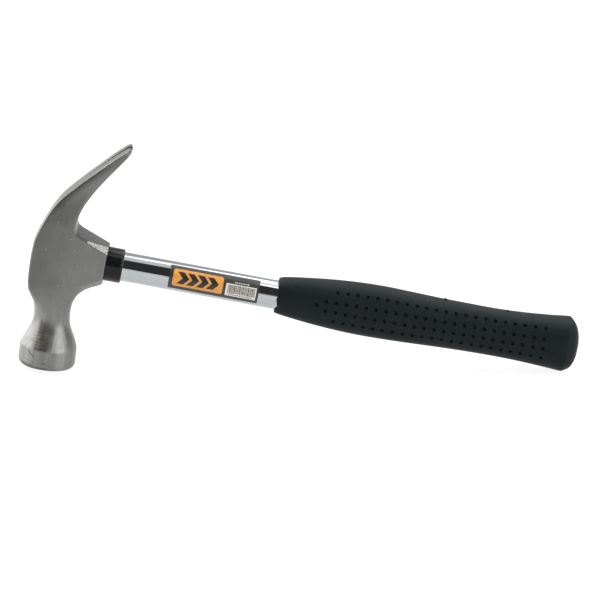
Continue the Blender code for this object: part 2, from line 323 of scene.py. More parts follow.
def cast_masks(tree, x, y, z):
    """(the socket's top and chamfers, above a line from the throat to the end face; its chamfers alone)."""
    above = plus(tree, times(tree, x, 0.4), z)
    under_claw = minus(tree, z, times(tree, x, 0.35))
    cast = times(tree, remap(tree, above, 17.9, 18.3), remap(tree, under_claw, 13.6, 15.2, 1.0, 0.0))
    cast = times(tree, cast, remap(tree, x, 8.0, 9.5))
    outwards = plus(tree, math_node(tree, "ABSOLUTE", y), times(tree, x, 0.55))
    return cast, times(tree, cast, remap(tree, outwards, 20.2, 20.6))


def ground_colour_and_highlights(tree, place, x, z, lines, clouds):
    """Grey with fine lines, duller clouds and strokes, and painted highlights: bright vertical streaking and
    a bright band on the bell.
    """
    brushed = noise_node(tree, stretched(tree, place, (0.09, 1.6, 1.6)), 1.0, 3.0, 0.7)
    ground = mix_colour(tree, remap(tree, lines, 0.3, 0.7), (0.182, 0.182, 0.175), (0.210, 0.210, 0.202))
    ground = mix_colour(tree, remap(tree, clouds, 0.35, 0.7, 0.0, 0.35), ground, (0.145, 0.145, 0.136))
    ground = mix_colour(tree, remap(tree, brushed, 0.60, 0.72, 0.0, 0.30), ground, (0.105, 0.105, 0.098))
    # Painted highlights: bright vertical streaking low on the neck and over the bell.
    painted_streak_highlights = noise_node(tree, stretched(tree, place, (0.55, 0.55, 0.03)), 1.0, 3.0, 0.7)
    painted_streak_highlights = remap(tree, painted_streak_highlights, 0.45, 0.65, 0.0, 0.36)
    painted_streak_highlights = times(tree, painted_streak_highlights, remap(tree, z, -36.0, -24.0, 1.0, 0.0))
    ground = mix_colour(tree, painted_streak_highlights, ground, (0.30, 0.30, 0.30))
    # A painted highlight: a bright vertical band on the rim of the bell.
    painted_rim_highlight = math_node(tree, "ABSOLUTE", minus(tree, x, 12.3))
    painted_rim_highlight = times(tree, remap(tree, painted_rim_highlight, 1.0, 3.8, 0.45, 0.0), remap(tree, z, -50.0, -48.0, 1.0, 0.0))
    return mix_colour(tree, painted_rim_highlight, ground, (0.34, 0.34, 0.34))


def painted_shade_on_head(tree, x, z):
    """Painted shade: darker cheeks towards the poll, darker sides of the claw along its outer edges, and a
    darker rim of the face.
    """
    cheek = remap(tree, x, -12.0, 18.0, 0.36, 0.0)
    cheek = times(tree, cheek, remap(tree, z, -30.0, -14.0))
    above_throat = minus(tree, z, THROAT_HEIGHT)
    curve = times(tree, times(tree, above_throat, above_throat), 0.0098)
    edge_x = plus(tree, curve, times(tree, above_throat, 0.30))
    inwards = minus(tree, plus(tree, x, 10.9), edge_x)
    facing = tree.nodes.new("ShaderNodeNewGeometry").outputs["Normal"]
    sideways = math_node(tree, "ABSOLUTE", axes(tree, facing)[1])
    shade = times(tree, remap(tree, inwards, 0.0, 9.0, 0.78, 0.0), remap(tree, sideways, 0.55, 0.8))
    shade = times(tree, shade, remap(tree, z, 12.0, 34.0))
    shade = times(tree, shade, remap(tree, z, 50.0, 62.0, 1.0, 0.35))
    rim = remap(tree, z, -60.9, -60.2, 0.45, 0.0)
    return math_node(tree, "MAXIMUM", math_node(tree, "MAXIMUM", cheek, shade), rim)


def chatter(tree, x, z, clouds):
    """(the patch of the bell's flare that shows chatter from grinding, the ripples in it)."""
    height = plus(tree, z, times(tree, clouds, 3.0))
    ripples = math_node(tree, "SINE", times(tree, height, 3.9))
    patch = times(tree, remap(tree, x, -4.5, -1.5), remap(tree, x, 1.5, 5.5, 1.0, 0.0))
    patch = times(tree, patch, remap(tree, z, -37.0, -41.0))
    patch = times(tree, patch, remap(tree, z, -51.5, -50.0))
    return patch, times(tree, ripples, patch)


def make_ground_steel():
    """Satin steel, ground in fine vertical lines, and left rough as cast on the top of the socket."""
    made, tree, shader = new_material("ground_steel")
    place = own_place(tree)
    x, y, z = axes(tree, place)
    lines = noise_node(tree, stretched(tree, place, (1.6, 1.6, 0.12)), 1.0, 4.0, 0.7)
    clouds = noise_node(tree, stretched(tree, place, (0.10, 0.10, 0.07)), 1.0, 3.0, 0.6)
    grit = noise_node(tree, place, 2.6, 3.0, 0.65)

    cast, chamfer = cast_masks(tree, x, y, z)
    ground = ground_colour_and_highlights(tree, place, x, z, lines, clouds)
    rough = mix_colour(tree, remap(tree, grit, 0.45, 0.62), (0.10, 0.10, 0.10), (0.19, 0.19, 0.185))
    # The chamfers are rough cast steel; their near-white speckles are painted sparkle.
    bright = mix_colour(tree, remap(tree, grit, 0.42, 0.62), (0.16, 0.16, 0.16), (0.95, 0.95, 0.93))
    colour = mix_colour(tree, cast, ground, mix_colour(tree, chamfer, rough, bright))
    # Painted shade, nearly black, on the cheeks towards the poll, the claw's sides along their outer edges
    # and the rim of the face.
    colour = mix_colour(tree, painted_shade_on_head(tree, x, z), colour, (0.02, 0.02, 0.017))

    # The patch of chatter is slightly tarnished.
    patch, ripples = chatter(tree, x, z, clouds)
    colour = mix_colour(tree, remap(tree, ripples, 0.2, 0.9, 0.0, 0.55), colour, (0.36, 0.33, 0.24))
    colour = mix_colour(tree, times(tree, patch, 0.25), colour, (0.17, 0.155, 0.11))

    # Painted shade inside the nail slot.
    slot = minus(tree, math_node(tree, "ABSOLUTE", y), times(tree, x, 0.1))
    slot = times(tree, remap(tree, slot, 0.05, 0.25, 1.0, 0.0), remap(tree, z, 40.0, 46.0))
    colour = mix_colour(tree, times(tree, slot, 0.7), colour, (0.04, 0.04, 0.04))

    # Scratches and nicks are on the near side only.
    near = remap(tree, y, -5.0, -3.0, 1.0, 0.0)
    scratches = times(tree, near_any(tree, x, z, SCRATCHES), near)
    colour = mix_colour(tree, times(tree, scratches, 0.85), colour, (0.06, 0.055, 0.05))
    strokes = [(at, (at[0] + NICK_STROKE[0], at[1] + NICK_STROKE[1]), NICK_WIDTH) for at in NICKS]
    nicks = times(tree, near_any(tree, x, z, strokes), near)
    colour = mix_colour(tree, times(tree, nicks, 0.4), colour, (0.95, 0.95, 0.93))
    link(tree, colour, shader.inputs["Base Color"])

    roughness = remap(tree, lines, 0.25, 0.75, 0.33, 0.41, smooth=False)
    roughness = plus(tree, roughness, times(tree, cast, 0.12))
    link(tree, roughness, shader.inputs["Roughness"])
    link(tree, minus(tree, 1.0, times(tree, chamfer, 0.75)), shader.inputs["Metallic"])

    normal = bump(tree, lines, 0.2, 0.03)
    normal = bump(tree, ripples, 0.8, 0.06, normal)
    normal = bump(tree, times(tree, grit, cast), 1.0, 0.9, normal)
    normal = bump(tree, minus(tree, 1.0, scratches), 0.6, 0.15, normal)
    link(tree, normal, shader.inputs["Normal"])
    return made


def make_chrome():
    """Bright plating over drawn tube, with faint smears and lines along the shaft."""
    made, tree, shader = new_material("chrome")
    place = own_place(tree)
    smears = noise_node(tree, stretched(tree, place, (0.06, 0.5, 0.5)), 1.0, 3.0, 0.6)
    drawn = noise_node(tree, stretched(tree, place, (0.05, 2.5, 2.5)), 1.0, 2.0, 0.5)
    colour = mix_colour(tree, remap(tree, smears, 0.35, 0.7), (0.465, 0.485, 0.495), (0.42, 0.44, 0.45))
    link(tree, colour, shader.inputs["Base Color"])
    link(tree, remap(tree, smears, 0.3, 0.75, 0.035, 0.09), shader.inputs["Roughness"])
    link(tree, bump(tree, drawn, 0.35, 0.02), shader.inputs["Normal"])
    shader.inputs["Metallic"].default_value = 1.0
    return made


def make_collar_plastic():
    made, tree, shader = new_material("collar_plastic")
    place = own_place(tree)
    haze = noise_node(tree, place, 0.9, 3.0, 0.6)
    grain = noise_node(tree, place, 6.0, 2.0, 0.5)
    colour = mix_colour(tree, remap(tree, haze, 0.35, 0.7), (0.0055, 0.0055, 0.006), (0.009, 0.0095, 0.010))
    link(tree, colour, shader.inputs["Base Color"])
    link(tree, remap(tree, haze, 0.3, 0.7, 0.10, 0.16), shader.inputs["Roughness"])
    link(tree, bump(tree, grain, 0.2, 0.03), shader.inputs["Normal"])
    shader.inputs["Specular IOR Level"].default_value = 0.19
    return made


def make_grip_rubber():
    """Matt moulded rubber: a fine grain, faint flow marks, and dust that has rubbed into it."""
    made, tree, shader = new_material("grip_rubber")
    place = own_place(tree)
    grain = noise_node(tree, place, 3.2, 3.0, 0.6)
    flow = noise_node(tree, stretched(tree, place, (0.03, 0.12, 0.12)), 1.0, 3.0, 0.6)
    colour = mix_colour(tree, remap(tree, flow, 0.3, 0.7), (0.0042, 0.006, 0.007), (0.0062, 0.0084, 0.0096))
    colour = mix_colour(tree, remap(tree, grain, 0.55, 0.75, 0.0, 0.35), colour, (0.010, 0.013, 0.0145))
    link(tree, colour, shader.inputs["Base Color"])
    link(tree, remap(tree, grain, 0.3, 0.7, 0.50, 0.62), shader.inputs["Roughness"])
    link(tree, bump(tree, grain, 0.35, 0.08), shader.inputs["Normal"])
    shader.inputs["Specular IOR Level"].default_value = 0.155
    shader.inputs["Specular Tint"].default_value = (0.84, 0.97, 1.0, 1.0)
    return made


def make_film(name, colour, second, roughness):
    """Printed film: ink that is slightly uneven, under a satin coat."""
    made, tree, shader = new_material(name)
    place = own_place(tree)
    uneven = noise_node(tree, place, 0.45, 3.0, 0.6)
    screen = noise_node(tree, place, 5.0, 2.0, 0.5)
    share = remap(tree, plus(tree, uneven, times(tree, screen, 0.3)), 0.45, 0.85)
    link(tree, mix_colour(tree, share, colour, second), shader.inputs["Base Color"])
    link(tree, remap(tree, uneven, 0.3, 0.7, roughness - 0.05, roughness + 0.06), shader.inputs["Roughness"])
    link(tree, bump(tree, uneven, 0.15, 0.04), shader.inputs["Normal"])
    return made


def make_plug_steel():
    made, tree, shader = new_material("plug_steel")
    place = own_place(tree)
    grit = noise_node(tree, place, 2.5, 4.0, 0.65)
    rust = noise_node(tree, place, 0.5, 4.0, 0.7)
    colour = mix_colour(tree, remap(tree, grit, 0.3, 0.7), (0.32, 0.32, 0.31), (0.48, 0.48, 0.47))
    colour = mix_colour(tree, remap(tree, rust, 0.55, 0.75, 0.0, 0.5), colour, (0.20, 0.13, 0.08))
    link(tree, colour, shader.inputs["Base Color"])
    link(tree, remap(tree, grit, 0.3, 0.7, 0.35, 0.55), shader.inputs["Roughness"])
    link(tree, bump(tree, grit, 0.4, 0.15), shader.inputs["Normal"])
    shader.inputs["Metallic"].default_value = 1.0
    return made


def make_beech():
    """Beech along the shaft, with rings and short dark flecks."""
    made, tree, shader = new_material("beech")
    place = own_place(tree)
    grain = noise_node(tree, stretched(tree, place, (0.05, 0.9, 0.9)), 1.0, 5.0, 0.65, 0.6)
    flecks = noise_node(tree, stretched(tree, place, (0.4, 3.0, 3.0)), 1.0, 2.0, 0.5)
    colour = mix_colour(tree, remap(tree, grain, 0.3, 0.7), (0.60, 0.40, 0.23), (0.44, 0.27, 0.14))
    colour = mix_colour(tree, remap(tree, flecks, 0.62, 0.72, 0.0, 0.6), colour, (0.25, 0.14, 0.07))
    link(tree, colour, shader.inputs["Base Color"])
    link(tree, remap(tree, grain, 0.3, 0.7, 0.55, 0.75), shader.inputs["Roughness"])
    link(tree, bump(tree, grain, 0.4, 0.1), shader.inputs["Normal"])
    return made


def make_plug_plastic():
    made, tree, shader = new_material("plug_plastic")
    place = own_place(tree)
    haze = noise_node(tree, place, 0.7, 3.0, 0.6)
    colour = mix_colour(tree, remap(tree, haze, 0.35, 0.7), (0.035, 0.035, 0.036), (0.06, 0.06, 0.062))
    link(tree, colour, shader.inputs["Base Color"])
    link(tree, remap(tree, haze, 0.3, 0.7, 0.4, 0.55), shader.inputs["Roughness"])
    link(tree, bump(tree, haze, 0.2, 0.1), shader.inputs["Normal"])
    return made


# ---------------------------------------------------------------- head

# One section across the head, on the plane that holds the line from poll to handle side and Y:
#   poll, inner    its two ends in the side view, (x, z): the outer side and the handle side
#   wide           half width at the poll end
#   body           half width just inside it, where the claw's flared edges have died away
#   narrow         half width at the inner end
#   poll_corner    size of the corner at the poll end, (along the section, across it)
#   inner_corner   the same at the inner end
#   arc            1 for round corners, 0 for straight chamfers
#   sharp          True where the outline turns sharply, so that curves stop there
Section = namedtuple("Section", "poll inner wide body narrow poll_corner inner_corner arc sharp")


def bell_section(height, radius, lean=BELL_LEAN, sharp=False):
    """A full circle at a height above the face on the bell's axis, leaning as the face does or less."""
    up = Vector((-math.sin(BELL_LEAN), math.cos(BELL_LEAN)))
    across = Vector((math.cos(lean), math.sin(lean)))
    centre = FACE_CENTRE.xz + up * height
    size = (radius, radius)
    ends = centre - across * radius, centre + across * radius
    return Section(*ends, radius, radius, radius, size, size, 1, sharp)


def head_section(poll, inner, widths, poll_corner, inner_corner, arc=1.0, sharp=False):
    wide, body, narrow = widths
    ends = Vector(poll), Vector(inner)
    return Section(*ends, wide, body, narrow, poll_corner, inner_corner, arc, sharp)


SHOULDER_LEAN = math.radians(0.5)
BELL = [
    bell_section(0.0, BELL_RADIUS - 2.0, sharp=True),
    bell_section(1.1, BELL_RADIUS - 0.75),
    bell_section(2.7, BELL_RADIUS, sharp=True),
    bell_section(10.9, BELL_RADIUS, SHOULDER_LEAN, sharp=True),
]

# From the bell's shoulder up the waist to the sharp edge where the poll's flat begins.
WAIST = [
    head_section((-10.9, -49.1), (18.9, -48.8), (14.8, 14.8, 14.8), (14.8, 14.8), (14.8, 14.8)),
    head_section((-9.6, -45.6), (17.3, -45.2), (13.4, 13.4, 13.4), (12.8, 12.8), (12.8, 12.8)),
    head_section((-8.0, -41.8), (15.2, -41.5), (11.5, 11.5, 11.5), (10.2, 10.2), (10.2, 10.2)),
    head_section((-7.1, -38.0), (13.5, -37.7), (10.4, 10.4, 10.4), (9.2, 9.2), (9.2, 9.2)),
    head_section((-6.95, -34.2), (12.7, -33.9), (10.0, 10.0, 10.0), (8.6, 8.4), (8.6, 8.4)),
    head_section((-7.4, -30.4), (12.4, -30.1), (10.2, 10.2, 10.2), (7.2, 7.4), (7.4, 7.6)),
    head_section((-8.3, -26.7), (12.6, -26.2), (10.7, 10.7, 10.7), (5.6, 6.0), (6.2, 6.6)),
    head_section((-10.0, -23.1), (13.3, -22.6), (11.3, 11.3, 11.3), (3.4, 3.9), (5.2, 5.6)),
]

# Under the socket, round its end face and back along its top, with chamfers that grow to the end.
WIDE = (CHEEK, CHEEK, CHEEK)
POLL_EDGE = (1.0, 1.0)
END_EDGE = (0.6, 0.6)
SOCKET = [
    head_section((-12.0, -19.4), (14.5, -19.5), (11.8, 11.8, 11.8), (1.4, 1.8), (5.2, 5.4), 0.8, True),
    head_section((-12.6, -16.0), (16.3, -17.1), WIDE, POLL_EDGE, (5.6, 5.4), 0.5),
    head_section((-12.9, -13.5), (18.9, -14.9), WIDE, POLL_EDGE, (6.0, 5.8), 0.3),
    head_section((-13.1, -11.3), (22.0, -13.2), WIDE, POLL_EDGE, (6.4, 6.1), 0.15),
    head_section((-13.2, -9.5), (24.8, -11.9), WIDE, POLL_EDGE, (6.8, 6.4), 0.1),
    head_section((-13.3, -8.0), (SOCKET_END, -10.6), WIDE, POLL_EDGE, (7.0, 6.5), 0.1, True),
    head_section((-13.35, -6.2), (SOCKET_END, -6.8), WIDE, POLL_EDGE, END_EDGE, 0.1, True),
    head_section((-13.45, 0.0), (SOCKET_END, 0.0), WIDE, POLL_EDGE, END_EDGE, 0.1),
    head_section((-13.15, 7.6), (SOCKET_END, 7.8), WIDE, POLL_EDGE, END_EDGE, 0.1, True),
    head_section((-12.85, 9.2), (SOCKET_END, 10.4), WIDE, POLL_EDGE, (7.5, 6.5), 0.1, True),
    head_section((-12.4, 10.8), (21.5, 11.7), WIDE, POLL_EDGE, (3.8, 3.3), 0.1),
    head_section((-12.0, 12.3), (16.5, 13.0), WIDE, POLL_EDGE, (0.9, 0.8), 0.2),
    head_section((-11.5, 13.7), (12.0, 14.6), WIDE, POLL_EDGE, (0.6, 0.6), 0.5),
    head_section((-10.9, 15.2), (9.0, 16.2), WIDE, POLL_EDGE, (0.9, 0.9)),
]

# The throat and the claw, out to the tip, whose corners are rounded off.
EDGE = (0.7, 0.7)
INNER = (1.4, 1.4)
CLAW = [
    head_section((-10.4, 16.9), (7.7, 18.2), (12.0, 12.0, 12.0), (1.0, 1.0), (0.7, 0.7)),
    head_section((-9.5, 19.1), (7.6, 20.8), (12.0, 11.95, 11.9), (1.0, 1.0), (0.7, 0.7)),
    head_section((-8.25, 22.3), (8.1, 23.8), (11.85, 11.75, 11.75), EDGE, (1.0, 1.0)),
    head_section((-5.8, 27.5), (9.1, 27.9), (11.75, 11.4, 11.5), EDGE, INNER),
    head_section((-2.3, 33.2), (10.8, 32.5), (11.75, 11.05, 11.2), EDGE, INNER),
    head_section((3.1, 39.7), (13.5, 37.9), (11.95, 10.8, 10.9), EDGE, INNER),
    head_section((8.5, 45.7), (16.7, 43.4), (12.3, 10.7, 10.6), EDGE, INNER),
    head_section((14.3, 51.8), (20.5, 49.3), (12.8, 11.0, 10.4), EDGE, (1.2, 1.2)),
    head_section((20.2, 58.0), (24.8, 55.6), (13.4, 11.6, 10.6), EDGE, (1.0, 1.0)),
    head_section((24.7, 62.4), (27.7, 60.0), (13.3, 12.0, 10.9), (0.6, 0.6), (0.8, 0.8)),
    head_section((27.4, 64.9), (29.4, 62.6), (11.8, 11.2, 10.0), (0.6, 0.6), (0.7, 0.7)),
    head_section((29.1, 66.3), (30.4, 64.4), (8.0, 7.8, 7.2), (0.5, 0.5), (0.5, 0.5), 1.0, True),
]
HEAD_SECTIONS = BELL + WAIST + SOCKET + CLAW
HEAD_STEPS = 5  # sections made for each one given
CORNER_STEPS = 10
SIDE_STEPS = 10
WALL_STEPS = 8
FLARE_REACH = 2.4  # how fast the flare of the claw's outer edges dies away
CROWN = 0.3  # the outer side of the claw stands this much higher in its middle than at its edges


def between(sections, i, t):
    """The section t of the way from section i to the next, on a smooth curve that breaks at sharp ones."""
    start, end = sections[i], sections[i + 1]
    before = start if start.sharp or i == 0 else sections[i - 1]
    after = end if end.sharp or i + 2 == len(sections) else sections[i + 2]

    def mixed(field):
        values = [getattr(section, field) for section in (before, start, end, after)]
        if field in ("poll_corner", "inner_corner"):
            values = [Vector(value) for value in values]
        return spline(*values, t)

    return Section(*[mixed(field) for field in Section._fields[:-1]], False)


def corner_points(size, arc, steps):
    """From the wall to the side, as offsets (inwards, down from the side)."""
    points = []
    for k in range(steps + 1):
        turn = math.pi / 2 * k / steps
        share = k / steps
        inwards = arc * (1 - math.cos(turn)) + (1 - arc) * share
        down = arc * (1 - math.sin(turn)) + (1 - arc) * (1 - share)
        points.append((inwards * size[0], down * size[1]))
    return points


def section_loop(section):
    """The closed loop of points around one section: (x, y, z)."""
    poll, inner = section.poll, section.inner
    length = (inner - poll).length
    along = (inner - poll) / length
    half = []  # (distance from the poll end, y), from the middle of the poll to the middle of the inner end
    wall = section.wide - section.poll_corner[1]
    for k in range(WALL_STEPS):
        share = k / WALL_STEPS
        half.append((-CROWN * wall / CHEEK * (1 - share**2), wall * share))
    for inwards, down in corner_points(section.poll_corner, section.arc, CORNER_STEPS):
        half.append((inwards, section.wide - down))
    side_start = section.poll_corner[0]
    side_end = length - section.inner_corner[0]
    flare = section.wide - section.body
    for k in range(1, SIDE_STEPS):
        share = (k / SIDE_STEPS) ** 1.5
        distance = side_start + (side_end - side_start) * share
        straight = section.body + (section.narrow - section.body) * share
        fade = math.exp(-(distance - side_start) / FLARE_REACH)
        half.append((distance, straight + flare * fade))
    for inwards, down in reversed(corner_points(section.inner_corner, section.arc, CORNER_STEPS)):
        half.append((length - inwards, section.narrow - down))
    wall = section.narrow - section.inner_corner[1]
    for k in range(1, WALL_STEPS + 1):
        half.append((length, wall * (1 - k / WALL_STEPS)))
    mirrored = [(distance, -y) for distance, y in half[-2:0:-1]]
    points = []
    for distance, y in half + mirrored:
        place = poll + along * distance
        points.append((place.x, y, place.y))
    return points


SLOT_REACH = 4.0  # how far the slot's cutter stands out of the claw
# Half width of the nail slot at places along the claw, as (place among the claw's sections, half width).
SLOT = [
    (5.95, 0.3),
    (6.05, 0.75),
    (6.3, 1.05),
    (7.0, 1.5),
    (8.0, 2.1),
    (9.0, 2.5),
    (10.0, 2.75),
    (11.0, 2.9),
]


def slot_loops():
    loops = []
    for place, half in SLOT:
        i = min(int(place), len(CLAW) - 2)
        section = between(CLAW, i, place - i)
        reach = (section.inner - section.poll).normalized() * SLOT_REACH
        outer, inner = section.poll - reach, section.inner + reach
        corners = ((outer, half), (inner, half), (inner, -half), (outer, -half))
        loops.append([(point.x, y, point.y) for point, y in corners])
    tip = CLAW[-1]
    beyond = (tip.inner - tip.poll).orthogonal().normalized() * SLOT_REACH
    loops.append([(x + beyond.x, y, z + beyond.y) for x, y, z in loops[-1]])
    return loops


EYE_CLEARANCE = 0.1
HEAD_VOXEL = 0.36
HEAD_SMOOTHING = 4  # rounds of smoothing, which leave edges rounded by about half a voxel


def make_head(finish):
    loops = []
    for i in range(len(HEAD_SECTIONS) - 1):
        for k in range(HEAD_STEPS):
            loops.append(section_loop(between(HEAD_SECTIONS, i, k / HEAD_STEPS)))
    loops.append(section_loop(HEAD_SECTIONS[-1]))
    mesh = skin(bmesh.new(), loops)
    bmesh.ops.remove_doubles(mesh, verts=mesh.verts, dist=0.001)
    head = object_from("head", mesh, finish)
    eye = TUBE_RADIUS + EYE_CLEARANCE
    cut(head, turned("eye_cutter", [(-20.0, eye), (35.0, eye)], None))
    cut(head, object_from("slot_cutter", skin(bmesh.new(), slot_loops()), None))
    remesh = head.modifiers.new("even", "REMESH")
    remesh.mode = "VOXEL"
    remesh.voxel_size = HEAD_VOXEL * MM
    remesh.use_smooth_shade = True
    smooth = head.modifiers.new("soften", "SMOOTH")
    smooth.factor = 0.5
    smooth.iterations = HEAD_SMOOTHING
    return finish_piece(apply_modifiers(head), "hammer_head")


# ---------------------------------------------------------------- shaft


def make_shaft(chrome):
    outside, inside = TUBE_RADIUS, TUBE_RADIUS - TUBE_WALL
    edge = 0.35
    start, end = TUBE_START, TUBE_END
    profile = fillet((start + edge, outside - edge), edge, 180, 90)
    profile += fillet((end - edge, outside - edge), edge, 90, 0)
    profile += [(end, inside), (start + edge, inside), (start, inside + edge)]
    made = turned("shaft", profile, chrome, ring=True, sides=256)
    return finish_piece(made, "shaft_tube")


def make_eye_plug(steel):
    """The plug that spreads the tube in the eye: a dimpled steel slug with a rounded rim."""
    bore = TUBE_RADIUS - TUBE_WALL - 0.05
    start = TUBE_START + 0.3
    dimple = [(start + 1.5 * math.cos(a), 3.2 * math.sin(a)) for a in (0.12, 0.5, 0.9, 1.25, 1.5)]
    rim = fillet((start + 0.6, bore - 0.6), 0.6, 180, 90)
    made = turned("plug_in_eye", dimple + rim + [(start + 8.5, bore - 0.3)], steel, sides=96)
    return finish_piece(made, "eye_plug")


def make_collar(plastic):
    start, end = SOCKET_END + 0.15, SOCKET_END + 0.3 + COLLAR_LENGTH
    inside = TUBE_RADIUS + 0.05
    profile = [(start, inside), (start, 9.2)]
    profile += fillet((start + 0.25, 9.2), 0.25, 180, 90)
    profile += [(start + 0.5, 9.45), (end - 1.6, 9.36)]
    profile += fillet((end - 1.1, 8.25), 1.1, 88, 20)
    profile += [(end, inside)]
    made = turned("collar_ring", profile, plastic, ring=True, sharp=50)
    return finish_piece(made, "collar")


# ---------------------------------------------------------------- grip

# The grip's outline: (x, top, bottom, half width), from its mouth to the middle of its domed butt.
GRIP_OUTLINE = [
    (GRIP_START, 9.4, -9.4, 9.4),
    (124.0, 10.3, -10.0, 9.8),
    (132.0, 11.6, -11.0, 10.6),
    (147.0, 13.5, -12.4, 11.7),
    (163.0, 14.9, -13.2, 12.3),
    (178.0, 15.4, -13.2, 12.5),
    (194.0, 15.1, -12.7, 12.3),
    (209.0, 14.7, -12.0, 12.0),
    (225.0, 14.6, -11.4, 11.7),
    (241.0, 14.6, -11.1, 11.7),
    (256.0, 15.3, -11.2, 12.1),
    (271.0, 16.6, -11.8, 13.1),
    (279.0, 17.6, -12.3, 13.7),
    (281.6, 17.8, -12.4, 13.7),
    (282.6, 17.4, -12.0, 13.4),
    (284.3, 15.9, -11.0, 12.5),
    (286.0, 13.8, -9.7, 11.1),
    (287.3, 10.9, -7.4, 8.9),
    (288.2, 7.2, -4.6, 5.9),
    (GRIP_END, 2.8, -1.4, 2.2),
]
GRIP_SIDES = 128
GRIP_STEP = 1.2
GRIP_SQUARENESS = 2.4  # exponent of the section's superellipse, 2 is an ellipse
MOULD_PIPS = [  # x, side (1 is the claw's), radius
    (141.4, -1, 0.65),
    (145.4, -1, 0.55),
    (188.7, -1, 0.65),
    (212.5, 1, 0.95),
    (247.1, 1, 0.75),
]
DIMPLE_PITCH = 5.44
DIMPLE_RADIUS = 1.08
DIMPLE_SIDES = 16
DIMPLE_RINGS = [  # height above the surface, share of the radius
    (1.0, 1.3),
    (0.1, 1.2),
    (-0.1, 1.0),
    (-0.9, 0.9),
    (-1.15, 0.6),
    (-1.25, 0.2),
]
DIMPLE_ROWS = [  # angle above the side in degrees, x of the first, count
    (2.0, 143.2, 1),
    (38.0, 153.4, 22),
    (11.5, 148.1, 23),
    (-5.0, 148.5, 23),
    (-26.5, 153.8, 22),
]


def outline_around(i):
    """The four rows of the grip's outline that shape the stretch after row i."""
    last = len(GRIP_OUTLINE) - 1
    return [Vector(GRIP_OUTLINE[k]) for k in (max(i - 1, 0), i, i + 1, min(i + 2, last))]


def grip_row(x):
    """(x, top, bottom, half width) of the grip's outline at x."""
    i = max(k for k in range(len(GRIP_OUTLINE) - 1) if GRIP_OUTLINE[k][0] <= x or k == 0)
    before, start, end, after = outline_around(i)
    return spline(before, start, end, after, (x - start[0]) / (end[0] - start[0]))


def grip_point(row, turn):
    """The point at an angle above the side on the section at a row."""
    x, top, bottom, half_width = row
    middle, half_height = (top + bottom) / 2, (top - bottom) / 2
    power = 2 / GRIP_SQUARENESS
    y = math.copysign(abs(math.cos(turn)) ** power, math.cos(turn))
    z = math.copysign(abs(math.sin(turn)) ** power, math.sin(turn))
    return Vector((x, half_width * y, middle + half_height * z))


def grip_loops():
    rows = []
    for i in range(len(GRIP_OUTLINE) - 1):
        steps = max(3, round((GRIP_OUTLINE[i + 1][0] - GRIP_OUTLINE[i][0]) / GRIP_STEP))
        # t is shared by all of a row's values, so the domed butt keeps its round outline.
        rows += [spline(*outline_around(i), k / steps) for k in range(steps)]
    rows.append(Vector(GRIP_OUTLINE[-1]))
    turns = [2 * math.pi * k / GRIP_SIDES for k in range(GRIP_SIDES)]
    return [[grip_point(row, turn) for turn in turns] for row in rows]


def hump(value, middle, half_width):
    return math.exp(-(((value - middle) / half_width) ** 2))


def roughen_mouth(mesh):
    """The mouth is trimmed unevenly, set back most low on the near side, and left slightly ragged."""
    for vertex in mesh.verts:
        place = vertex.co
        turn = math.degrees(math.atan2(place.z, -place.y))  # above the near side
        set_back = 1.4 * hump(turn, -38, 22) - 0.6 * hump(turn, 78, 14)
        mouth = max(0.0, 1 - (place.x - GRIP_START) / 2.5)
        ragged = noise.noise(Vector((0, place.y * 0.7, place.z * 0.7)))
        ragged += 0.5 * noise.noise(Vector((4, place.y * 2, place.z * 2)))
        place.x += mouth * (0.5 * ragged + set_back)


def make_pips(rubber):
    """Moulding pips on the grip's parting line."""
    mesh = bmesh.new()
    for x, side, radius in MOULD_PIPS:
        row = grip_row(x)
        place = Matrix.Translation((x, 0, row[1] if side > 0 else row[2]))
        bmesh.ops.create_icosphere(mesh, subdivisions=3, radius=radius, matrix=place)
    finish_piece(object_from("pips", mesh, rubber), "grip")


def dimple_place(x, degrees, side):
    """Where a dimple stands square on the grip's surface."""
    turn = math.radians(degrees) if side > 0 else math.pi - math.radians(degrees)
    along = grip_point(grip_row(x + 0.5), turn) - grip_point(grip_row(x - 0.5), turn)
    around = grip_point(grip_row(x), turn + 0.02) - grip_point(grip_row(x), turn - 0.02)
    out = along.cross(around).normalized()
    if out.y * side < 0:
        out = -out
    at = grip_point(grip_row(x), turn)
    return Matrix.Translation(at) @ out.to_track_quat("Z", "Y").to_matrix().to_4x4()


def dimple_cutter():
    """All the dimples' cutters in one mesh: short round-ended pins."""
    turns = [2 * math.pi * i / DIMPLE_SIDES for i in range(DIMPLE_SIDES)]
    mesh = bmesh.new()
    for degrees, first, count in DIMPLE_ROWS:
        for side in (-1, 1):
            for k in range(count):
                place = dimple_place(first + DIMPLE_PITCH * k, degrees, side)
                loops = []
                for height, share in DIMPLE_RINGS:
                    radius = DIMPLE_RADIUS * share
                    ring = [(radius * math.cos(a), radius * math.sin(a), height) for a in turns]
                    loops.append([place @ Vector(point) for point in ring])
                skin(mesh, loops)
    return object_from("dimple_cutter", mesh, None)


def make_grip(rubber):
    mouth = TUBE_RADIUS + 0.05
    bore = ((GRIP_BORE_END, 8.3), (GRIP_START + 1.0, mouth), (GRIP_START, mouth + 0.5))
    inside = [circle(x, radius, GRIP_SIDES) for x, radius in bore]
    mesh = skin(bmesh.new(), inside + grip_loops())
    roughen_mouth(mesh)
    grip = object_from("rubber_grip", mesh, rubber, sharp=45)
    cut(grip, dimple_cutter())
    apply_modifiers(grip)
    grip.data.set_sharp_from_angle(angle=math.radians(45))
    return finish_piece(grip, "grip")


# ---------------------------------------------------------------- label


FILM_GAP = 0.02  # between the tube and the label
FILM_RISE = 0.05  # of each layer over the one below
FILM_THICKNESS = 0.06
ARC_STEP = 0.5  # flat plates are cut this finely before they are wrapped round


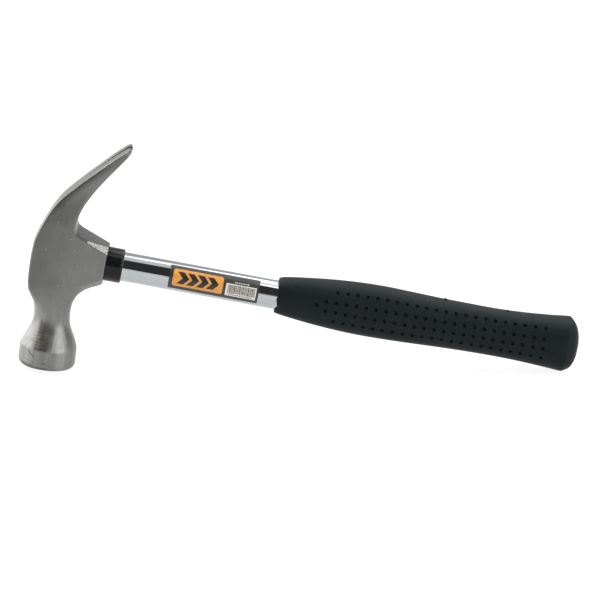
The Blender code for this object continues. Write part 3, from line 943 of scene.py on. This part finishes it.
def wrapped(name, outlines, layer, finish):
    """Thin plates wrapped round the shaft from flat outlines of (x, arc length above the side) points."""
    inner = TUBE_RADIUS + FILM_GAP + FILM_RISE * layer
    outer = inner + FILM_THICKNESS
    mesh = bmesh.new()
    for outline in outlines:
        face = mesh.faces.new([mesh.verts.new((x, arc, 0)) for x, arc in outline])
        made = bmesh.ops.extrude_face_region(mesh, geom=[face])
        for vertex in made["geom"]:
            if isinstance(vertex, bmesh.types.BMVert):
                vertex.co.z = 1
    arcs = [vertex.co.y for vertex in mesh.verts]
    for k in range(math.ceil(min(arcs) / ARC_STEP), math.floor(max(arcs) / ARC_STEP) + 1):
        geometry = mesh.verts[:] + mesh.edges[:] + mesh.faces[:]
        at = (0, k * ARC_STEP, 0)
        bmesh.ops.bisect_plane(mesh, geom=geometry, plane_co=at, plane_no=(0, 1, 0), dist=1e-4)
    for vertex in mesh.verts:
        radius = inner + (outer - inner) * vertex.co.z
        turn = vertex.co.y / TUBE_RADIUS
        vertex.co = (vertex.co.x, -radius * math.cos(turn), radius * math.sin(turn))
    return finish_piece(object_from(name, mesh, finish), "label")


def rounded(x, arc, length, height, radius, steps=5):
    """A rectangle's outline with round corners, from its corner nearest the head and lowest."""
    points = []
    for centre_x, centre_arc, start in (
        (x + length - radius, arc + height - radius, 0),
        (x + radius, arc + height - radius, 90),
        (x + radius, arc + radius, 180),
        (x + length - radius, arc + radius, 270),
    ):
        for k in range(steps + 1):
            turn = math.radians(start + 90 * k / steps)
            points.append((centre_x + radius * math.cos(turn), centre_arc + radius * math.sin(turn)))
    return points


def chevron(x, arc, width, height, lean):
    """A bold arrow stroke that points to the grip."""
    middle, top = arc + height / 2, arc + height
    right = x + width
    return [(x, arc), (right, arc), (right + lean, middle), (right, top), (x, top), (x + lean, middle)]


# Widths of half the bars, which the other half mirrors.
BARS = [0.2, 0.2, 0.4, 0.2, 0.3, 0.2, 0.5, 0.2, 0.2, 0.3, 0.2, 0.4, 0.2]
BAR_GAP = 0.31


def make_label():
    black = make_film("film_black", (0.022, 0.021, 0.022), (0.034, 0.033, 0.034), 0.32)
    orange = make_film("film_orange", (0.62, 0.245, 0.042), (0.70, 0.31, 0.062), 0.34)
    ink = make_film("film_ink", (0.012, 0.011, 0.010), (0.022, 0.020, 0.018), 0.36)
    pale = make_film("film_pale", (0.60, 0.58, 0.52), (0.68, 0.66, 0.61), 0.40)
    height = TUBE_RADIUS * LABEL_ARC
    low = TUBE_RADIUS * LABEL_TURN - height / 2
    wrapped("label_film", [rounded(LABEL_START, low, LABEL_LENGTH, height, 0.4)], 0, black)

    panel = (LABEL_START + 2.0, low + 2.3, 27.6, height - 4.6)
    wrapped("label_panel", [rounded(*panel, 1.4)], 1, orange)
    stroke, gap, lean, count = 3.7, 1.7, 3.0, 4
    start = panel[0] + (panel[2] - count * stroke - (count - 1) * gap - lean) / 2
    places = [start + k * (stroke + gap) for k in range(count)]
    strokes = [chevron(x, panel[1] + 1.6, stroke, panel[3] - 3.2, lean) for x in places]
    wrapped("label_mark", strokes, 2, ink)

    ticket = (LABEL_START + 31.2, low + 2.2, 16.8, 7.0)
    wrapped("label_ticket", [rounded(*ticket, 0.15)], 1, pale)
    bars = []
    x = ticket[0] + 1.3
    for width in BARS + BARS[::-1]:
        bars.append(rounded(x, ticket[1] + 1.7, width, ticket[3] - 2.3, 0.03, 1))
        x += width + BAR_GAP
    bars += [rounded(ticket[0] + 2.0 + k, ticket[1] + 0.7, 0.6, 0.5, 0.1, 1) for k in range(13)]
    wrapped("label_bars", bars, 2, ink)
    above = ticket[1] + ticket[3] + 0.7
    dashes = [rounded(ticket[0] + 4.6 + k, above, 0.65, 0.55, 0.1, 1) for k in range(8)]
    wrapped("label_dashes", dashes, 1, pale)


# ---------------------------------------------------------------- pieces that are out of sight


def dress_hidden_nodes():
    """The dowel in the eye and the butt's plug keep their CAD shapes."""
    for node, slot, finish in (
        ("eye_core", "beech", make_beech()),
        ("butt_plug", "plug_plastic", make_plug_plastic()),
    ):
        data = frame["nodes"][node].data
        data.materials.clear()
        data.materials.append(finish)


# ---------------------------------------------------------------- stage, light and camera

VIEW_ELEVATION = math.radians(14)
VIEW_DISTANCE = 1.558
VIEW_LENS = 171.24
AIM = Vector((134.45, 0, -0.43))  # the middle of the picture, in the hammer's own frame
SHAFT_SLOPE_IN_VIEW = math.radians(10.8)
FLOOR_SIZE = 14.0


def make_floor():
    made, tree, shader = new_material("floor")
    place = tree.nodes.new("ShaderNodeTexCoord").outputs["Object"]
    speckle = noise_node(tree, place, 3.0)
    colour = mix_colour(tree, speckle, (0.12, 0.12, 0.12), (0.13, 0.13, 0.13))
    link(tree, colour, shader.inputs["Base Color"])
    shader.inputs["Roughness"].default_value = 0.9
    shader.inputs["Specular IOR Level"].default_value = 0.1
    shader.inputs["Emission Color"].default_value = (1, 1, 1, 1)
    # It glows brightest on the left of the head, and less beyond that and well in front of the hammer.
    x, y, _ = axes(tree, place)
    glow = remap(tree, x, -0.225, -0.155, 1.6, 0.90)
    glow = times(tree, glow, remap(tree, y, -0.62, -0.46, 0.62, 1.0))
    glow = minus(tree, glow, remap(tree, x, -0.36, -0.29, 0.6, 0.0))
    link(tree, glow, shader.inputs["Emission Strength"])
    mesh = bmesh.new()
    bmesh.ops.create_grid(mesh, x_segments=1, y_segments=1, size=FLOOR_SIZE / 2)
    data = bpy.data.meshes.new("floor")
    mesh.to_mesh(data)
    mesh.free()
    data.materials.append(made)
    floor = bpy.data.objects.new("floor", data)
    bpy.context.scene.collection.objects.link(floor)


# Soft patches of the studio, each laid over those before it: (middle azimuth, middle elevation), (half
# width, half height), squareness of its outline, softness of its edge and radiance. Azimuths are in degrees
# from straight in front, where the camera stands, positive to the right.
STUDIO = [
    ((-107, 36), (43, 41), 8, 0.12, 3.3),  # soft box on the left
    ((120, 30), (32, 35), 8, 0.12, 0.50),  # dark corner on the right
    ((-135, 55), (35, 22), 8, 0.12, 3.4),  # high boxes behind the hammer, on both sides
    ((130, 55), (35, 22), 8, 0.12, 3.4),
    ((53, 34), (27, 40), 8, 0.14, 2.9),  # strip on the right
    ((-19, 31), (36, 37), 2, 0.16, 0.05),  # the dark side, where the camera stands
    ((8, 54), (20, 13), 4, 0.25, 0.05),  # its top
]
SIDE_LIGHT = 0.66  # radiance of the studio between its patches, low down
TOP_LIGHT = 1.1  # and overhead
BACKDROP = 1.1  # the least that the camera sees, which is plain white


def make_world():
    """A white studio with soft boxes, darker on the camera's side."""
    world = bpy.data.worlds.new("studio")
    bpy.context.scene.world = world
    world.use_nodes = True
    tree = world.node_tree
    direction = tree.nodes.new("ShaderNodeTexCoord").outputs["Generated"]
    x, y, z = axes(tree, direction)
    elevation = math_node(tree, "DEGREES", math_node(tree, "ARCSINE", z))
    azimuth = math_node(tree, "DEGREES", math_node(tree, "ARCTAN2", x, times(tree, y, -1.0)))
    light = remap(tree, elevation, 45.0, 85.0, SIDE_LIGHT, TOP_LIGHT)
    for middle, half_size, squareness, softness, radiance in STUDIO:
        reach = 0.0
        for angle, centre, half in zip((azimuth, elevation), middle, half_size):
            away = math_node(tree, "ABSOLUTE", minus(tree, angle, float(centre)))
            share = math_node(tree, "POWER", math_node(tree, "DIVIDE", away, float(half)), float(squareness))
            reach = plus(tree, share, reach)
        reach = math_node(tree, "POWER", reach, 1 / squareness)
        inside = remap(tree, reach, 1 - softness, 1 + softness, 1.0, 0.0)
        change = times(tree, inside, minus(tree, radiance, light))
        light = plus(tree, light, change)
    seen = tree.nodes.new("ShaderNodeLightPath").outputs["Is Camera Ray"]
    light = math_node(tree, "MAXIMUM", light, times(tree, seen, BACKDROP))
    link(tree, light, tree.nodes["Background"].inputs["Strength"])
    tree.nodes["Background"].inputs["Color"].default_value = (1, 1, 1, 1)


def make_camera():
    data = bpy.data.cameras.new("camera")
    data.lens = VIEW_LENS
    data.sensor_width = 36
    camera = bpy.data.objects.new("camera", data)
    bpy.context.scene.collection.objects.link(camera)
    ahead = Vector((0, math.cos(VIEW_ELEVATION), -math.sin(VIEW_ELEVATION)))
    roll = Matrix.Rotation(SHAFT_SLOPE_IN_VIEW - SLOPE, 4, "Z")
    turn = ahead.to_track_quat("-Z", "Y").to_matrix().to_4x4() @ roll
    camera.matrix_world = Matrix.Translation(PLACING @ AIM - ahead * VIEW_DISTANCE) @ turn
    bpy.context.scene.camera = camera
    bpy.context.scene.view_settings.view_transform = "Standard"


# ---------------------------------------------------------------- everything

make_camera()
make_floor()
make_world()
chrome = make_chrome()
make_head(make_ground_steel())
make_shaft(chrome)
make_eye_plug(make_plug_steel())
make_collar(make_collar_plastic())
rubber = make_grip_rubber()
make_grip(rubber)
make_pips(rubber)
make_label()
dress_hidden_nodes()
